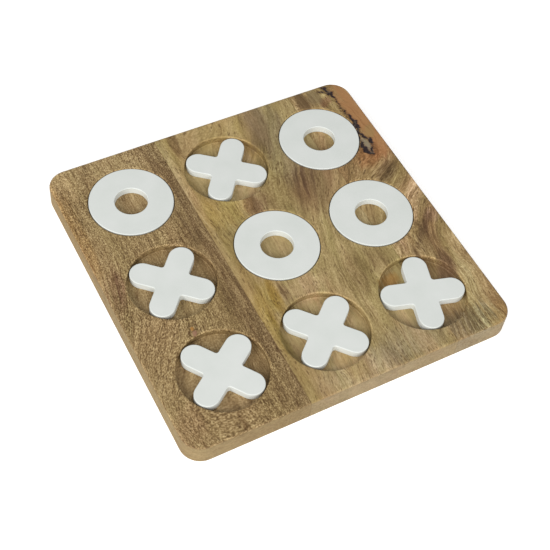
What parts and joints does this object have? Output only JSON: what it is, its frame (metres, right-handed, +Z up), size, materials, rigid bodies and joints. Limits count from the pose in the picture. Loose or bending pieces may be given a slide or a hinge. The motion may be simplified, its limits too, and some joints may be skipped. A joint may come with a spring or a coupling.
{
  "type": "tic tac toe set",
  "caption": "Square wooden tic tac toe board with rounded corners, glued up from staves, and loose white rings and crosses that sit level with its top in round recesses.",
  "frame": {"origin": "middle of the board's underside", "axes": "+Z up out of the board's top, +Y towards the back along the staves, +X to the right along the front edge"},
  "size_m": [0.254, 0.254, 0.018],
  "materials": {
    "brown_mango_wood": "satin",
    "golden_mango_wood": "satin",
    "figured_mango_wood": "satin",
    "white_resin": "satin"
  },
  "bodies": {
    "board": {"left_stave": "brown_mango_wood", "middle_stave": "golden_mango_wood", "right_stave": "figured_mango_wood"},
    "ring_back_left": {"ring_back_left": "white_resin"},
    "ring_back_right": {"ring_back_right": "white_resin"},
    "ring_centre": {"ring_centre": "white_resin"},
    "ring_middle_right": {"ring_middle_right": "white_resin"},
    "cross_back_middle": {"cross_back_middle": "white_resin"},
    "cross_middle_left": {"cross_middle_left": "white_resin"},
    "cross_front_left": {"cross_front_left": "white_resin"},
    "cross_front_middle": {"cross_front_middle": "white_resin"},
    "cross_front_right": {"cross_front_right": "white_resin"}
  },
  "joints": [
    {"name": "ring_back_left_lift", "type": "slide", "parent": "board", "child": "ring_back_left", "axis": [0, 0, 1], "range_m": [0, 0.045]},
    {"name": "ring_back_right_lift", "type": "slide", "parent": "board", "child": "ring_back_right", "axis": [0, 0, 1], "range_m": [0, 0.045]},
    {"name": "ring_centre_lift", "type": "slide", "parent": "board", "child": "ring_centre", "axis": [0, 0, 1], "range_m": [0, 0.045]},
    {"name": "ring_middle_right_lift", "type": "slide", "parent": "board", "child": "ring_middle_right", "axis": [0, 0, 1], "range_m": [0, 0.045]},
    {"name": "cross_back_middle_lift", "type": "slide", "parent": "board", "child": "cross_back_middle", "axis": [0, 0, 1], "range_m": [0, 0.045]},
    {"name": "cross_middle_left_lift", "type": "slide", "parent": "board", "child": "cross_middle_left", "axis": [0, 0, 1], "range_m": [0, 0.045]},
    {"name": "cross_front_left_lift", "type": "slide", "parent": "board", "child": "cross_front_left", "axis": [0, 0, 1], "range_m": [0, 0.045]},
    {"name": "cross_front_middle_lift", "type": "slide", "parent": "board", "child": "cross_front_middle", "axis": [0, 0, 1], "range_m": [0, 0.045]},
    {"name": "cross_front_right_lift", "type": "slide", "parent": "board", "child": "cross_front_right", "axis": [0, 0, 1], "range_m": [0, 0.045]}
  ]
}
